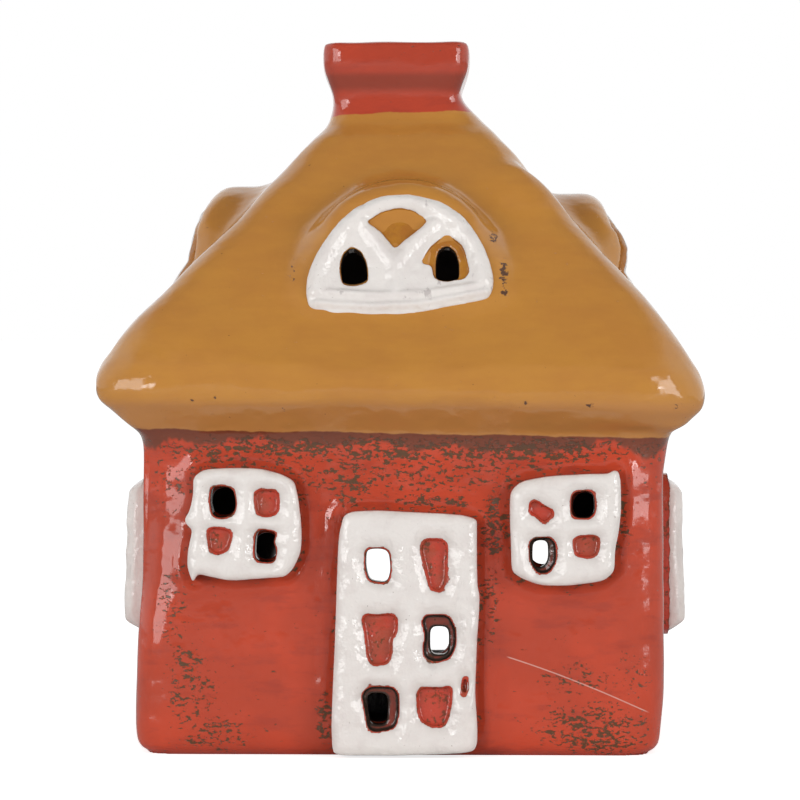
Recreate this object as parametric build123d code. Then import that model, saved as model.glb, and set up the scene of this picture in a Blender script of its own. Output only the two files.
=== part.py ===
from build123d import *
import os

# Glazed ceramic tealight house, in millimetres. It stands on Z = 0 with its front towards -Y.
# The fired house is one piece. Here it is the clay slabs that it is put together from, cut to their joints.

# Walls and floor
wall_width = 93.0
wall_depth = 86.0
wall_thickness = 5.0
wall_corner = 6.0
room_corner = 2.0
wall_top = 57.0
floor_thickness = 5.0
foot_round = 2.2

# Hipped roof, with a soffit that slopes from the wall top out to the eave
roof_thickness = 5.0
eave_overhang = 7.8
soffit_rise = 6.8
eave_edge = 3.6
eave_round = 2.0
knee_rise = 16.4
knee_inset = 12.3
knee_round = 60.0
crown_rise = 31.0

# Chimney, which stands a little left of the middle
chimney_shift = 2.0
chimney_rise = 15.2
stack_width = 23.4
stack_depth = 21.6
stack_wall = 4.5
stack_corner = 2.0
flue_corner = 1.5
collar_reach = 2.0
collar_band = 5.0
collar_flare = 4.2
collar_foot = 0.5

# Dormers, one on each of three roof slopes, with faces that lean back
dormer_width = 37.4
dormer_drop = 4.8
dormer_leg = 5.0
dormer_height = 23.6
dormer_wall = 4.0
dormer_step = 4.5
dormer_tilt = 20.0
hood_setback = 0.5
lunette_inset = 1.6
lunette_thickness = 3.0
lunette_stand = 0.2
lunette_recess = 1.2
arched_pane_width = 5.2
arched_pane_height = 7.4
arched_pane_leg = 4.8
arched_pane_lift = 5.2
arched_pane_pitch = 17.0
fan_width = 11.0
fan_height = 6.6
fan_leg = 1.6
fan_lift = 11.8

# Window plates and the door, all laid on the walls
plate_thickness = 4.8
side_plate_thickness = 5.8
plate_corner = 1.4
pane_corner = 0.9
pane_recess = 2.4
window_width = 20.4
window_height = 20.2
window_stile = 4.2
window_rail = 3.6
window_bar = 3.0
left_window_shift = 27.7
left_window_drop = 5.5
right_window_shift = 29.1
right_window_drop = 6.3
side_window_width = 22.0
side_window_height = 27.2
side_window_drop = 9.6
door_top_width = 24.6
door_foot_width = 26.4
door_foot = 0.6
door_height = 43.2
door_shift = 0.9
door_stile = 4.5
door_rail = 5.2
door_bar = 4.8

# Arched opening in the back wall
opening_width = 57.0
opening_sill = 7.0
opening_leg = 12.0
opening_head = 4.5

# Tealight, standing on the floor forward and to the left of the middle
tealight_forward = 4.0
tealight_aside = 16.0
cup_width = 37.4
cup_height = 15.0
cup_thickness = 0.4
rim_reach = 0.7
rim_height = 0.6
wax_drop = 2.4
holder_width = 12.0
holder_thickness = 0.3
holder_neck_width = 3.4
holder_neck_height = 3.0
wick_width = 1.8
wick_above_wax = 6.8

# How far a cut runs past what it cuts
overrun = 2.0

# Sides of the house, each a quarter turn on from the one before, starting at +X
sides = ["right", "back", "left", "front"]

# Heights and widths that follow from the sizes above
eave_width = wall_width + 2 * eave_overhang
eave_low = wall_top + soffit_rise
eave_top = eave_low + eave_edge
knee_height = eave_top + knee_rise
knee_width = eave_width - 2 * knee_inset
roof_height = knee_height + crown_rise
roof_top_width = stack_width + 2 * chimney_shift
chimney_height = roof_height + chimney_rise
dormer_sill = knee_height - dormer_drop
dormer_top = dormer_sill + dormer_height
wax_height = cup_height - cup_thickness - wax_drop
beyond = eave_width + chimney_height


def turned(side, shape):
    """Carries what is modelled looking along +X to its own side of the house."""
    return Rot(0, 0, 360 * sides.index(side) / len(sides)) * shape


def half_plan(side):
    """Half the size of the walls towards a side, and half their size along it."""
    if side in ("left", "right"):
        return wall_width / 2, wall_depth / 2
    return wall_depth / 2, wall_width / 2


def mitre(side):
    """Everything between the two corner joints of a side, looking along +X."""
    towards, along = half_plan(side)
    reach = beyond / along
    near_corner = (reach * towards, -reach * along)
    far_corner = (reach * towards, reach * along)
    plan = make_face(Polyline((0, 0), near_corner, far_corner, close=True))
    return extrude(plan, chimney_height + overrun)


def arch(width, foot, spring, top, along=0.0):
    """Arch in the plane across +X: straight legs under half an ellipse."""
    left = along - width / 2
    right = along + width / 2
    legs = Polyline((right, spring), (right, foot), (left, foot), (left, spring))
    crown = EllipticalCenterArc((along, spring), width / 2, top - spring, arc_size=360 / 2)
    return Plane.YZ * make_face(legs + crown)


def panel(width, height, corner, along, middle):
    """Rounded rectangle in the plane across +X."""
    return Plane.YZ * (Pos(along, middle) * RectangleRounded(width, height, corner))


def pane_grid(rows, width, height, stile, rail, bar, along, foot):
    """Panes in two columns between stiles, rails and bars, by their place as seen from outside."""
    pane_width = (width - 2 * stile - bar) / 2
    pane_height = (height + bar - 2 * rail) / len(rows) - bar
    panes = {}
    for number, row in enumerate(rows):
        middle = foot + rail + pane_height / 2 + number * (pane_height + bar)
        for hand, column in (("left", -1), ("right", 1)):
            shift = column * (pane_width + bar) / 2
            panes[f"{row} {hand}"] = panel(pane_width, pane_height, pane_corner, along + shift, middle)
    return panes


def floor():
    slab = extrude(RectangleRounded(wall_width, wall_depth, wall_corner), floor_thickness)
    return fillet(slab.faces().sort_by(Axis.Z)[0].edges(), foot_round)


def wall(side, pierced=()):
    """One wall of the ring, with the panes that go right through it."""
    towards, along = half_plan(side)
    outside = RectangleRounded(2 * towards, 2 * along, wall_corner)
    room = RectangleRounded(2 * (towards - wall_thickness), 2 * (along - wall_thickness), room_corner)
    ring = Pos(0, 0, floor_thickness) * extrude(outside - room, wall_top - floor_thickness)
    slab = ring & mitre(side)
    for pane in pierced:
        slab -= Pos(towards - wall_thickness - overrun, 0, 0) * extrude(pane, wall_thickness + 2 * overrun)
    return turned(side, slab)


def wall_plate(side, outline, panes, pierced, thickness=plate_thickness):
    """Raised plate on a wall: its pierced panes go right through, and the others are recesses."""
    towards, along = half_plan(side)
    plate = Pos(towards, 0, 0) * extrude(outline, thickness)
    for place, pane in panes.items():
        depth = thickness + overrun if place in pierced else pane_recess
        plate -= Pos(towards + thickness - depth, 0, 0) * extrude(pane, depth + overrun)
    return turned(side, plate)


def roof_section(side, rounded):
    """Both halves of the roof's section towards a side, from wall top to chimney foot."""
    towards, along = half_plan(side)
    spread = 2 * towards / wall_width
    eave = spread * eave_width / 2
    knee = spread * knee_width / 2
    top = spread * roof_top_width / 2
    points = [
        (towards, wall_top),
        (eave, eave_low),
        (eave, eave_top),
        (knee, knee_height),
        (top, roof_height),
    ]
    mirrored = [(-across, up) for across, up in reversed(points)]
    radii = [0, eave_round, eave_round, knee_round, 0]
    if rounded:
        return make_face(FilletPolyline(*points, *mirrored, radius=radii + radii[::-1], close=True))
    return make_face(Polyline(*points, *mirrored, close=True))


def roof_solid(side):
    """The roof as if it were solid clay, looking along +X."""
    return extrude(Plane.XZ * roof_section(side, rounded=True), beyond, both=True)


def roof_hollow(side):
    """The space under the roof slabs, with the way down into the room, looking along +X."""
    towards, along = half_plan(side)
    attic = offset(roof_section(side, rounded=False), -roof_thickness, kind=Kind.INTERSECTION)
    throat = Pos(0, wall_top) * Rectangle(2 * (towards - wall_thickness), 2 * (roof_thickness + overrun))
    return extrude(Plane.XZ * (attic + throat), beyond, both=True)


def flue():
    """The chimney's bore, from under the roof's top to above the chimney."""
    foot = roof_height - roof_thickness - overrun
    bore = RectangleRounded(stack_width - 2 * stack_wall, stack_depth - 2 * stack_wall, flue_corner)
    return Pos(-chimney_shift, 0, foot) * extrude(bore, chimney_height + overrun - foot)


def roof_side(side, dormer=True):
    """One slab of the roof, open under its dormer and under the chimney."""
    slab = (roof_solid(side) & mitre(side)) - roof_hollow(side)
    if dormer:
        slab -= dormer_hollow()
    return turned(side, slab) - flue()


def stack():
    tube = extrude(RectangleRounded(stack_width, stack_depth, stack_corner), chimney_rise)
    return Pos(-chimney_shift, 0, roof_height) * tube - flue()


def collar():
    """Band round the stack's top, with a flare under it."""
    widest = RectangleRounded(
        stack_width + 2 * collar_reach, stack_depth + 2 * collar_reach, stack_corner + collar_reach
    )
    narrowest = RectangleRounded(
        stack_width + 2 * collar_foot, stack_depth + 2 * collar_foot, stack_corner + collar_foot
    )
    stack_plan = RectangleRounded(stack_width, stack_depth, stack_corner)
    band = extrude(widest, collar_band)
    flare = loft([Pos(0, 0, -collar_flare) * narrowest, widest], ruled=True)
    core = Pos(0, 0, -collar_flare - overrun) * extrude(stack_plan, collar_flare + collar_band + 2 * overrun)
    return Pos(-chimney_shift, 0, chimney_height - collar_band) * (band + flare - core)


def sill_reach(side):
    """How far from the middle the roof's outside is at the height of the dormer's sill."""
    towards, along = half_plan(side)
    reach = knee_width / 2 + knee_inset * dormer_drop / knee_rise
    return 2 * towards / wall_width * reach


def behind_face(side, depth=0.0):
    """Everything behind the dormer's leaning face, or that deep inside it, looking along +X."""
    block = Box(beyond, beyond, beyond, align=(Align.MAX, Align.CENTER, Align.CENTER))
    lean = Pos(sill_reach(side), 0, dormer_sill) * Rot(0, -dormer_tilt, 0)
    return lean * Pos(lunette_stand - depth, 0, 0) * block


def dormer_hollow():
    """Room inside a dormer, open to the attic, looking along +X."""
    spring = dormer_sill + dormer_leg
    foot = dormer_sill + dormer_step
    return extrude(arch(dormer_width - 2 * dormer_wall, foot, spring, dormer_top - dormer_wall), beyond)


def lunette(side):
    """Half-round plate with the dormer's lean, looking along +X."""
    spring = dormer_sill + dormer_leg
    width = dormer_width - 2 * lunette_inset
    bar = extrude(arch(width, dormer_sill, spring, dormer_top - lunette_inset), beyond)
    return (bar & behind_face(side)) - behind_face(side, lunette_thickness) - roof_solid(side)


def dormer_hood(side):
    """Half-round hood from the roof's outside to just behind its face, with a seat for the lunette."""
    spring = dormer_sill + dormer_leg
    barrel = extrude(arch(dormer_width, dormer_sill, spring, dormer_top), beyond)
    hood = (barrel & behind_face(side, hood_setback)) - dormer_hollow() - roof_solid(side)
    return turned(side, hood - lunette(side))


def dormer_face(side):
    """Lunette with two pierced arched panes and a recessed fan over them."""
    face = lunette(side)
    for column in (-1, 1):
        foot = dormer_sill + arched_pane_lift
        along = column * arched_pane_pitch / 2
        pane = arch(arched_pane_width, foot, foot + arched_pane_leg, foot + arched_pane_height, along)
        face -= extrude(pane, beyond)
    foot = dormer_sill + fan_lift
    fan = extrude(arch(fan_width, foot, foot + fan_leg, foot + fan_height), beyond)
    return turned(side, face - (fan - behind_face(side, lunette_recess)))


def window(width, height, along, drop):
    """Outline and panes of a window whose top is a drop below the wall's top."""
    foot = wall_top - drop - height
    outline = panel(width, height, plate_corner, along, foot + height / 2)
    rows = ["low", "high"]
    return outline, pane_grid(rows, width, height, window_stile, window_rail, window_bar, along, foot)


def door():
    """Outline and panes of the door, which is a little wider at its foot."""
    top = door_foot + door_height
    points = [
        (door_shift - door_foot_width / 2, door_foot),
        (door_shift + door_foot_width / 2, door_foot),
        (door_shift + door_top_width / 2, top),
        (door_shift - door_top_width / 2, top),
    ]
    outline = Plane.YZ * make_face(FilletPolyline(*points, radius=plate_corner, close=True))
    rows = ["low", "middle", "high"]
    panes = pane_grid(
        rows, door_top_width, door_height, door_stile, door_rail, door_bar, door_shift, door_foot
    )
    return outline, panes


def back_opening():
    """Arched way in for the tealight, over a sill that keeps it in."""
    sill = floor_thickness + opening_sill
    return arch(opening_width, sill, sill + opening_leg, wall_top - opening_head)


def tealight():
    """Cup, wax, wick and the wick's foot, by node name."""
    seat = Pos(-tealight_aside, -tealight_forward, floor_thickness)
    whole = [Align.CENTER, Align.CENTER, Align.MIN]
    inner_radius = cup_width / 2 - cup_thickness
    cup = Cylinder(cup_width / 2, cup_height, align=whole)
    cup += Pos(0, 0, cup_height - rim_height) * Cylinder(cup_width / 2 + rim_reach, rim_height, align=whole)
    cup -= Pos(0, 0, cup_thickness) * Cylinder(inner_radius, cup_height, align=whole)
    wick_height = wax_height + wick_above_wax - holder_thickness
    wick = Pos(0, 0, cup_thickness + holder_thickness) * Cylinder(wick_width / 2, wick_height, align=whole)
    holder = Cylinder(holder_width / 2, holder_thickness, align=whole)
    holder += Cylinder(holder_neck_width / 2, holder_neck_height, align=whole)
    holder = Pos(0, 0, cup_thickness) * holder - wick
    wax = Pos(0, 0, cup_thickness) * Cylinder(inner_radius, wax_height, align=whole) - holder - wick
    pieces = {"tealight_cup": cup, "tealight_wax": wax, "tealight_wick": wick, "wick_holder": holder}
    return {name: seat * piece for name, piece in pieces.items()}


# Which panes are pierced, as seen from outside
left_pierced = ["low right", "high left"]
right_pierced = ["low left", "high right"]
side_pierced = ["low right", "high left"]
door_pierced = ["low left", "middle right", "high left"]

left_window = window(window_width, window_height, -left_window_shift, left_window_drop)
right_window = window(window_width, window_height, right_window_shift, right_window_drop)
side_window = window(side_window_width, side_window_height, 0, side_window_drop)
door_plate = door()
front_pierced = [left_window[1][place] for place in left_pierced]
front_pierced += [right_window[1][place] for place in right_pierced]
front_pierced += [door_plate[1][place] for place in door_pierced]
side_open = [side_window[1][place] for place in side_pierced]

parts = {
    "floor": floor(),
    "front_wall": wall("front", front_pierced),
    "back_wall": wall("back", [back_opening()]),
    "left_wall": wall("left", side_open),
    "right_wall": wall("right", side_open),
    "roof_front": roof_side("front"),
    "roof_back": roof_side("back", dormer=False),
    "roof_left": roof_side("left"),
    "roof_right": roof_side("right"),
    "chimney_stack": stack(),
    "chimney_collar": collar(),
    "front_left_window": wall_plate("front", *left_window, left_pierced),
    "front_right_window": wall_plate("front", *right_window, right_pierced),
    "left_window": wall_plate("left", *side_window, side_pierced, side_plate_thickness),
    "right_window": wall_plate("right", *side_window, side_pierced, side_plate_thickness),
    "door": wall_plate("front", *door_plate, door_pierced),
}
for side in ("front", "left", "right"):
    parts[side + "_dormer_hood"] = dormer_hood(side)
    parts[side + "_dormer_face"] = dormer_face(side)
parts.update(tealight())

os.makedirs("parts", exist_ok=True)
for name, piece in parts.items():
    export_step(piece, f"parts/{name}.step")
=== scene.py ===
import math

import bmesh
import bpy
import numpy as np
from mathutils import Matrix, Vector


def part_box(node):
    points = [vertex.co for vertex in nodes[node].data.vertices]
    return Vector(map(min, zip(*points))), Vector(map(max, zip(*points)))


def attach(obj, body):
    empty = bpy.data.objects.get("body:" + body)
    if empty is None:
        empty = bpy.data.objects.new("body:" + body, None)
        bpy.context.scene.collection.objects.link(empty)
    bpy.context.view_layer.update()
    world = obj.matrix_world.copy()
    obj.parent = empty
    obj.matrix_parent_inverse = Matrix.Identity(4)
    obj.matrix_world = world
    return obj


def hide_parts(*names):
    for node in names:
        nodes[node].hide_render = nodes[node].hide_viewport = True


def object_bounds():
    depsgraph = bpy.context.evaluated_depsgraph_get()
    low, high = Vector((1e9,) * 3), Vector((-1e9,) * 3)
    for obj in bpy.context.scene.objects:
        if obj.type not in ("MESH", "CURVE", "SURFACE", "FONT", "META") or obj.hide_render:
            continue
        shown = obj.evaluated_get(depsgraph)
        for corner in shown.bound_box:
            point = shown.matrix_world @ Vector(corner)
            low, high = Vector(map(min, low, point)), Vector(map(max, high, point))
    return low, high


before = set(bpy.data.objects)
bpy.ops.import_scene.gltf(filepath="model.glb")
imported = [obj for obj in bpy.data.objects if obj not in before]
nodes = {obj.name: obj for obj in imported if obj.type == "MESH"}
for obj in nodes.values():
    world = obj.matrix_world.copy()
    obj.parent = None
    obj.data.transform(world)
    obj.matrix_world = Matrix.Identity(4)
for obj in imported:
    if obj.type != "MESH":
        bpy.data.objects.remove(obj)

cad_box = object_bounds()
mm = 0.001

# The clay house: walls, roof, dormer hoods and chimney.
# It is rolled clay, cut into slabs and luted together, and its joints are wiped round with a wet finger.
# So the slabs become one skin here, which is smoothed and then parted into walls, roof and chimney.
clay_voxel = 0.8 * mm
same_point = 0.001 * mm
wall_half_width = 46.5 * mm
wall_half_depth = 43.0 * mm
depth_share = wall_half_depth / wall_half_width
roof_joint = 57.6 * mm
chimney_joint = 115.4 * mm
slab_nodes = ["floor", "front_wall", "back_wall", "left_wall", "right_wall"]
roof_nodes = ["roof_front", "roof_back", "roof_left", "roof_right"]
hood_nodes = ["front_dormer_hood", "left_dormer_hood", "right_dormer_hood"]
lunette_nodes = ["front_dormer_face", "left_dormer_face", "right_dormer_face"]
chimney_nodes = ["chimney_stack", "chimney_collar"]


def piece_from(name, mesh):
    piece = bpy.data.objects.new(name, mesh)
    bpy.context.scene.collection.objects.link(piece)
    return piece


def mesh_from(name, points, faces):
    mesh = bpy.data.meshes.new(name)
    mesh.from_pydata([tuple(point) for point in points], [], faces)
    mesh.update()
    return mesh


def closed(name, shape):
    """Makes a mesh of a bmesh, and frees it."""
    mesh = bpy.data.meshes.new(name)
    shape.to_mesh(mesh)
    shape.free()
    return mesh


def copied(name, node_names):
    """One mesh from copies of CAD nodes, with the triangles of each node merged."""
    shape = bmesh.new()
    for node_name in node_names:
        start = len(shape.verts)
        shape.from_mesh(nodes[node_name].data)
        shape.verts.ensure_lookup_table()
        bmesh.ops.remove_doubles(shape, verts=shape.verts[start:], dist=same_point)
    return closed(name, shape)


def baked(piece):
    """Swaps a piece's mesh for what its modifiers make of it."""
    evaluated = piece.evaluated_get(bpy.context.evaluated_depsgraph_get())
    mesh = bpy.data.meshes.new_from_object(evaluated)
    piece.modifiers.clear()
    piece.data = mesh
    return piece


def fused(piece, voxel):
    """Turns touching solids into one even skin."""
    remesh = piece.modifiers.new("skin", "REMESH")
    remesh.mode = "VOXEL"
    remesh.voxel_size = voxel
    remesh.use_smooth_shade = True
    return baked(piece)


def points_of(mesh):
    points = np.empty(len(mesh.vertices) * 3)
    mesh.vertices.foreach_get("co", points)
    return points.reshape(-1, 3)


def normals_of(mesh):
    normals = np.empty(len(mesh.vertices) * 3)
    mesh.vertices.foreach_get("normal", normals)
    return normals.reshape(-1, 3)


def set_points(mesh, points):
    mesh.vertices.foreach_set("co", points.ravel())
    mesh.update()


def neighbour_mean(mesh):
    """A function that averages any values of a mesh's points over each point's neighbours."""
    edges = np.empty(len(mesh.edges) * 2, int)
    mesh.edges.foreach_get("vertices", edges)
    edges = edges.reshape(-1, 2)
    here = np.concatenate([edges[:, 0], edges[:, 1]])
    there = np.concatenate([edges[:, 1], edges[:, 0]])
    size = len(mesh.vertices)
    count = np.maximum(np.bincount(here, minlength=size), 1)

    def mean(values):
        columns = values.reshape(size, -1)
        sums = [np.bincount(here, column[there], size) / count for column in columns.T]
        return np.stack(sums, axis=1).reshape(values.shape)

    return mean


def wiped(points, mean, rounds, share=None):
    """Smooths a surface. Each round takes a point half of its share of the way to its neighbours' mean."""
    share = np.ones(len(points)) if share is None else share
    for _ in range(rounds):
        points = points + 0.5 * share[:, None] * (mean(points) - points)
    return points


def spread(share, mean, rounds):
    """Lets a share for each point run out softly into its neighbourhood."""
    for _ in range(rounds):
        share = 0.5 * share + 0.5 * mean(share)
    return share


def ripple(points, size, seed):
    """Smooth unevenness from -1 to 1, with waves of about the given size."""
    waves = 14
    random = np.random.default_rng(seed)
    total = np.zeros(len(points))
    for _ in range(waves):
        direction = random.normal(size=3)
        direction *= 2 * math.pi / (size * random.uniform(0.7, 1.5) * np.linalg.norm(direction))
        total += np.cos(points @ direction + random.uniform(0, 2 * math.pi))
    return total / math.sqrt(2 * waves)


def ramp(values, low, high):
    """Rises smoothly from 0 at low to 1 at high."""
    share = np.clip((values - low) / (high - low), 0, 1)
    return share * share * (3 - 2 * share)


def band(values, low, full, fading, high):
    """Rises smoothly from 0 at low to 1 at full, and falls back from 1 at fading to 0 at high."""
    return ramp(values, low, full) * (1 - ramp(values, fading, high))


def bell(values, width):
    """1 where the values are 0, falling smoothly to 0 at the given width."""
    return 1 - ramp(np.abs(values), 0, width)


def keep(mesh, name, values):
    """Stores a value for each point, for the materials to read."""
    attribute = mesh.attributes.new(name, "FLOAT", "POINT")
    attribute.data.foreach_set("value", np.asarray(values, float))


# The clay's formulas are in millimetres. First come heights of the house's outline and its half widths there.
wall_top = 57.0
dormer_sill = 79.0
house_heights = [0, wall_top, 63.8, 67.4, 83.8, 114.8, 131.0]
house_halves = [46.5, 46.5, 54.3, 54.3, 42.0, 13.7, 13.7]
hood_slope = 0.364


def showing(points):
    """1 on the outer faces of the clay, 0 on the faces of the room, the flue, the hoods and their panes."""
    x, y, z = points.T / mm
    half = np.interp(z, house_heights, house_halves)
    wall = np.where(z < 60, 2.4, 3.3)
    inside = (np.abs(x) < half - wall) & (np.abs(y) < depth_share * half - wall) & (z > 2.5)
    flue = (np.abs(x + 2.0) < 9.2) & (np.abs(y) < 8.2)
    inside = np.where(z > 112, flue, inside)
    for towards, along, reach in ((-y, x, 38.9), (-x, y, 42.3), (x, y, 42.3)):
        arch = (along / 16.4) ** 2 + ((z - 84) / 16.2) ** 2 < 1
        depth = reach - hood_slope * (z - dormer_sill) - towards
        inside |= arch & (z > 81.5) & (z < 100) & (towards > 0) & (depth > 0)
        pane = (np.abs(np.abs(along) - 8.5) < 3.2) & (z > 83.6) & (z < 92.6)
        inside |= pane & (towards > 0) & (depth > -2.4)
    return 1 - inside.astype(float)


fit_heights = [80.0, 86.6, 88.8, 91.1, 93.4, 95.6, 97.9, 100.2, 103.0]
left_fit = [0.0, 1.6, 2.2, 1.7, 1.3, 0.95, 0.8, 1.3, 2.0]
right_fit = [0.9, 3.0, 1.7, 0.7, 0.8, 1.3, 1.25, 1.4, 1.8]


def pushed_in(points):
    """The side dormers as they were pressed on: each pushed in a little, and the right one lower."""
    x, y, z = points.T / mm
    inwards = np.where(x < 0, np.interp(z, fit_heights, left_fit), -np.interp(z, fit_heights, right_fit))
    near = 1 - ramp(np.abs(y), 18, 24)
    moved = points.copy()
    moved[:, 0] += mm * inwards * near * ramp(np.abs(x), 30, 37)
    moved[:, 2] -= mm * 1.5 * near * ramp(z, 92, 101) * ramp(x, 20, 27)
    return moved


def seated(points):
    """The clay behind each side lunette, cut back so that the lunette sits in it."""
    x, y, z = points.T / mm
    seat = 1 - ramp(np.hypot(y / 17.6, (z - 80.5) / 20.8), 0.86, 1.0)
    moved = points.copy()
    moved[:, 0] -= mm * 1.1 * np.sign(x) * seat * ramp(np.abs(x), 33, 36) * ramp(z, dormer_sill, 83)
    return moved


clay_nodes = slab_nodes + roof_nodes + hood_nodes + lunette_nodes + chimney_nodes
house = fused(piece_from("house", copied("house", clay_nodes)), clay_voxel)
mean = neighbour_mean(house.data)
points = points_of(house.data)
height = points[:, 2] / mm

# Every edge is wiped, the chimney's less. The joints, the eave, the hips and the folds are wiped once more.
points = wiped(points, mean, 18, 1 - 0.7 * ramp(height, 115, 120))
set_points(house.data, points)
hollow = ((mean(points) - points) * normals_of(house.data)).sum(axis=1) / mm
joints = (hollow > 0.012) * band(height, 70, 74, 118.5, 120) * showing(points)
points = wiped(points, mean, 50, np.clip(spread(joints, mean, 10) * 3, 0, 1))
points = wiped(points, mean, 16, bell(points[:, 2] / mm - 67.6, 4.5) * showing(points))
hips = (hollow < -0.014) * band(height, 63, 69, 106, 112) * showing(points)
hips *= np.abs(points[:, :2]).min(axis=1) > 15 * mm
points = wiped(points, mean, 60, np.clip(spread(hips, mean, 10) * 3, 0, 1))
x, y, z = points.T / mm
chimney_foot = bell(z - 113.5, 6)
hood_crown = bell(z - 104.5, 6.5) * ramp(-y, 12, 18)
folds = spread(np.maximum(chimney_foot, hood_crown), mean, 6)
points = wiped(points, mean, 60, folds * showing(points))

# The wiping draws the clay in, so it is let out again to nearly its full width, depth and height
side_margin = 0.05 * mm
top_margin = 0.25 * mm
top = points[:, 2].max()
z = points[:, 2] / mm
for axis in (0, 1):
    let_out = (cad_box[1][axis] - side_margin) / points[:, axis].max()
    points[:, axis] *= np.interp(z, [wall_top, 65], [1.0, let_out])
points[:, 2] += (cad_box[1].z - top_margin - top) * ramp(z, 110, top / mm)

# Hand-rolled slabs are never flat, and the roof's are a little fuller than their pattern
set_points(house.data, points)
outward = normals_of(house.data)
x, y, z = points.T / mm
outer = showing(points)
belly = 74
uneven = 0.22 * ripple(points, 38 * mm, 3) + 0.07 * ripple(points, 11 * mm, 4)
uneven += 0.13 * ripple(points, 9 * mm, 5) * ramp(z, 114, 118)
uneven *= ramp(z, 0.5, 6)
full = 0.65 * band(z, 96, 103, 111, 115)
full += 1.35 * bell(z - belly, 11) * ramp(-x, 20, 40)
full += 0.80 * bell(z - belly, 13) * ramp(x, 20, 40)
full += 1.4 * bell(z - 104, 9) * ramp(x, 10, 22) * ramp(-y, 16, 21)
points = points + outward * (mm * outer * (uneven + full - 0.12))[:, None]

# The walls lean, the chimney's foot flares, the roof sags, and the front corners of wall and eave are rounded
leaning = 0.9 * (1 - z / wall_top) * bell(x + 44, 40) * (z < wall_top)
leaning += 0.55 * ramp(-x, 36, 45) * (1 - ramp(z, 14, 34))
leaning -= 0.6 * ramp(x, 36, 45) * band(z, 2, 12, 50, wall_top)
leaning -= 1.2 * ramp(x, 38, 46) * bell(z - 56.5, 7)
flared = 1.9 * bell(z - 115.7, 5) * ramp(x, 3, 9)
sagging = 1.5 * ramp(x, 14, 54) * band(z, wall_top, 61, 68, 84)
bevel = 0.28 * np.clip(-37.6 - x, 0, 6.5) * band(z, 17, 50, 52, wall_top)
pared = (np.clip(x - 40.6, 0, 13) ** 2 + np.clip(-42.1 - x, 0, 12) ** 2) / 32
rounded = pared * band(z, wall_top, 61.5, 69, 84) + 1.3 * bell(z - belly, 10) * ramp(-x, 36, 46)
filled = 0.45 * ramp(x, 40, 51) - 1.1 * ramp(-x, 40, 51)
filled *= bell(z - 66.5, 5.5) * ramp(-y, 20, 40)
points[:, 0] += mm * outer * (flared + filled - leaning)
points[:, 1] += mm * outer * (bevel * ramp(-y, 38, 41) + rounded * ramp(-y, 22, 47))
points[:, 2] -= mm * sagging

# It stands flat, and nothing reaches out of the measured box
points[:, 2] = np.where(points[:, 2] < 0.35 * mm, 0, points[:, 2])
for axis in (0, 1):
    points[:, axis] = np.clip(points[:, axis], cad_box[0][axis], cad_box[1][axis])
points = pushed_in(seated(points))
set_points(house.data, points)

# Where the red has worn to the dark body: middle across and up, half width, half height, strength
front_wear = [
    (0, 54.6, 60, 3.2, 0.86),
    (0, 50, 60, 5.0, 0.56),
    (2, 51, 26, 5.5, 0.60),
    (-27, 52.6, 14, 2.2, 0.72),
    (-8.5, 47.5, 4.5, 5, 0.78),
    (6, 45.3, 10, 1.3, 0.80),
    (16.6, 41, 3.4, 8, 0.95),
    (16.0, 27, 2.6, 9, 0.62),
    (-37.5, 12, 5.5, 11, 0.66),
    (-33, 3.5, 9, 4, 0.72),
    (34, 5, 13, 6, 0.78),
    (31, 14, 8, 4, 0.60),
    (-40.5, 27, 3.5, 8, 0.58),
    (-41, 48, 4, 6, 0.50),
    (-36.5, 50, 3, 5, 0.62),
    (-27, 49, 14, 5, 0.56),
    (-10, 44, 9, 5, 0.26),
    (24, 51, 18, 4, 0.52),
    (39.3, 43, 1.8, 9, 0.74),
    (41, 14, 5, 6, 0.50),
    (-13.6, 7, 1.8, 7, 0.80),
    (20, 33, 3, 4, 0.55),
]
roof_specks = [
    (16.4, 92.6, 0.9, 1.3, 0.95),
    (18.3, 86.2, 1.0, 3.0, 0.85),
    (18.2, 82.6, 0.9, 1.2, 0.85),
    (-36.6, 63.4, 0.8, 0.5, 0.9),
    (-32.6, 63.9, 0.7, 0.5, 0.9),
    (-19.4, 86.6, 0.8, 2.4, 0.7),
    (15.5, 63.6, 1.4, 0.6, 0.8),
    (22.0, 62.8, 0.9, 0.6, 0.8),
    (33.5, 62.6, 1.0, 0.6, 0.9),
    (49.0, 62.5, 0.9, 0.6, 0.9),
    (-20.5, 61.8, 0.9, 0.6, 0.8),
]


def patch(x, z, oval, full, end):
    """1 in the middle of an oval on the front, falling smoothly to 0 between two shares of its radius."""
    across, up, half_width, half_height = oval
    return 1 - ramp(np.hypot((x - across) / half_width, (z - up) / half_height), full, end)


x, y, z = points.T / mm
wear = 0.30 * ramp(ripple(points * [1, 1, 2], 30 * mm, 8), 0.1, 1.6)
wear = np.maximum(wear, 0.60 * ramp(z, 49, 55))
patches = np.zeros(len(points))
for *oval, strength in front_wear:
    patches = np.maximum(patches, strength * patch(x, z, oval, 0.35, 1.25))
side_patches = 0.74 * ramp(ripple(points, 26 * mm, 21), 0.5, 1.5)
on_front = 1 - ramp(y, -41, -36)
wear = np.where(on_front > 0.5, np.maximum(0.25 * wear, patches), np.maximum(wear, side_patches))
wear *= 1 - ramp(z, 56.8, 57.6)
on_roof_front = ramp(-y, 24, 27)
for *oval, strength in roof_specks:
    wear = np.maximum(wear, strength * on_roof_front * patch(x, z, oval, 0.4, 1.3))
keep(house.data, "wear", wear)
# The inner faces are kept so that the glaze paints them near-black, as painted shade
keep(house.data, "inside", 1 - outer)


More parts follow.
